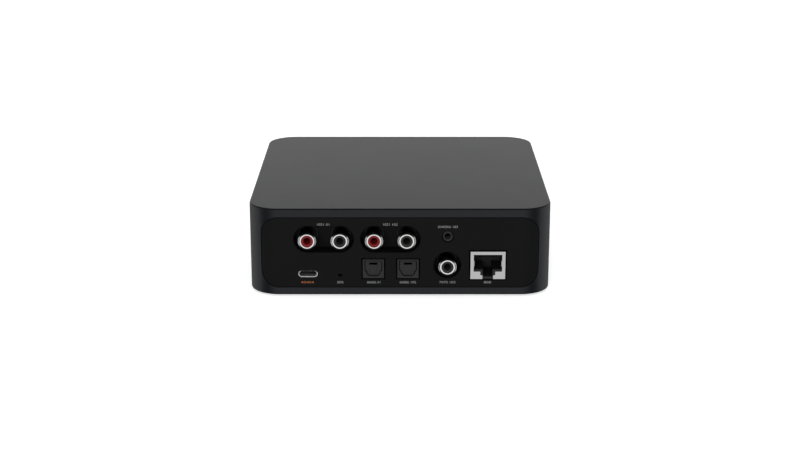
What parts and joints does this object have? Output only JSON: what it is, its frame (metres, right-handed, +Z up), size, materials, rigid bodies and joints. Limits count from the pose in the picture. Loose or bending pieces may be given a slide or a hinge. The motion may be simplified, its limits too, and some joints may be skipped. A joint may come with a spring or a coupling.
{
  "type": "network music streamer",
  "caption": "Low square desktop audio unit with rounded corners, all its sockets on an inset rear panel, sprung optical shutters and a flat rubber foot.",
  "frame": {"origin": "centre of the rubber foot's underside, on the surface that the unit stands on", "axes": "+Z up, +Y out of the rear panel, -Y out of the front window, +X to the left when the rear panel is seen from outside"},
  "size_m": [0.14, 0.1431, 0.042],
  "materials": {
    "case_plastic": "fine moulded texture, satin",
    "panel_plastic": "smooth, dull",
    "window_gloss": "polished black",
    "base_plastic": "moulded, dull",
    "foot_rubber": "soft, matt",
    "steel": "bright zinc plate",
    "nickel": "bright nickel plate",
    "red_insulator": "satin",
    "black_insulator": "satin",
    "socket_plastic": "moulded, satin",
    "contact_gold": "gold flash",
    "circuit_board": "solder mask",
    "tinned_sheet": "tinned",
    "spacer_brass": "turned",
    "chip_resin": "moulded",
    "can_aluminium": "drawn",
    "clear_resin": "clear",
    "ribbon_film": "polyester film"
  },
  "bodies": {
    "unit": {"case_shell": "case_plastic", "rear_panel": "panel_plastic", "front_window": "window_gloss", "base_plate": "base_plastic", "foot_pad": "foot_rubber", "base_screws": "steel", "ballast_plate": "steel", "main_board": "circuit_board", "analog_board": "circuit_board", "board_spacers": "spacer_brass", "board_screws": "steel", "line_in_block": "socket_plastic", "line_in_barrels": "nickel", "line_in_red_insulator": "red_insulator", "line_in_black_insulator": "black_insulator", "line_in_centre_contacts": "contact_gold", "line_out_block": "socket_plastic", "line_out_barrels": "nickel", "line_out_red_insulator": "red_insulator", "line_out_black_insulator": "black_insulator", "line_out_centre_contacts": "contact_gold", "coax_block": "socket_plastic", "coax_barrel": "nickel", "coax_insulator": "black_insulator", "coax_centre_contact": "contact_gold", "trigger_block": "socket_plastic", "trigger_collar": "socket_plastic", "trigger_contacts": "contact_gold", "optical_in_housing": "socket_plastic", "optical_in_hinge_pin": "steel", "optical_in_spring": "steel", "optical_in_receiver": "clear_resin", "optical_out_housing": "socket_plastic", "optical_out_hinge_pin": "steel", "optical_out_spring": "steel", "optical_out_emitter": "clear_resin", "lan_shield": "nickel", "lan_insert": "socket_plastic", "lan_contacts": "contact_gold", "lan_transformer": "chip_resin", "usb_shell": "nickel", "usb_tongue": "socket_plastic", "usb_contacts": "contact_gold", "mic_boot": "foot_rubber", "mic_capsule": "can_aluminium", "module_board": "circuit_board", "shield_can": "tinned_sheet", "converter_chips": "chip_resin", "logic_chips": "chip_resin", "capacitors": "can_aluminium", "inductors": "chip_resin", "board_header_socket": "chip_resin", "board_header_plug": "chip_resin", "antennas": "tinned_sheet", "touch_board": "circuit_board", "status_light": "clear_resin", "ribbon_cable": "ribbon_film", "ribbon_connectors": "ribbon_film"},
    "optical_in_flap": {"optical_in_shutter": "socket_plastic"},
    "optical_out_flap": {"optical_out_shutter": "socket_plastic"}
  },
  "joints": [
    {"name": "optical_in_hinge", "type": "hinge", "parent": "unit", "child": "optical_in_flap", "pos_m": [0.0123, 0.06895, 0.0165], "axis": [-1, 0, 0], "range_deg": [0, 88], "stiffness_Nm_per_rad": 0.0002, "springref_deg": -28.65, "deforming": ["optical_in_spring"]},
    {"name": "optical_out_hinge", "type": "hinge", "parent": "unit", "child": "optical_out_flap", "pos_m": [-0.0037, 0.06895, 0.0165], "axis": [-1, 0, 0], "range_deg": [0, 88], "stiffness_Nm_per_rad": 0.0002, "springref_deg": -28.65, "deforming": ["optical_out_spring"]}
  ]
}
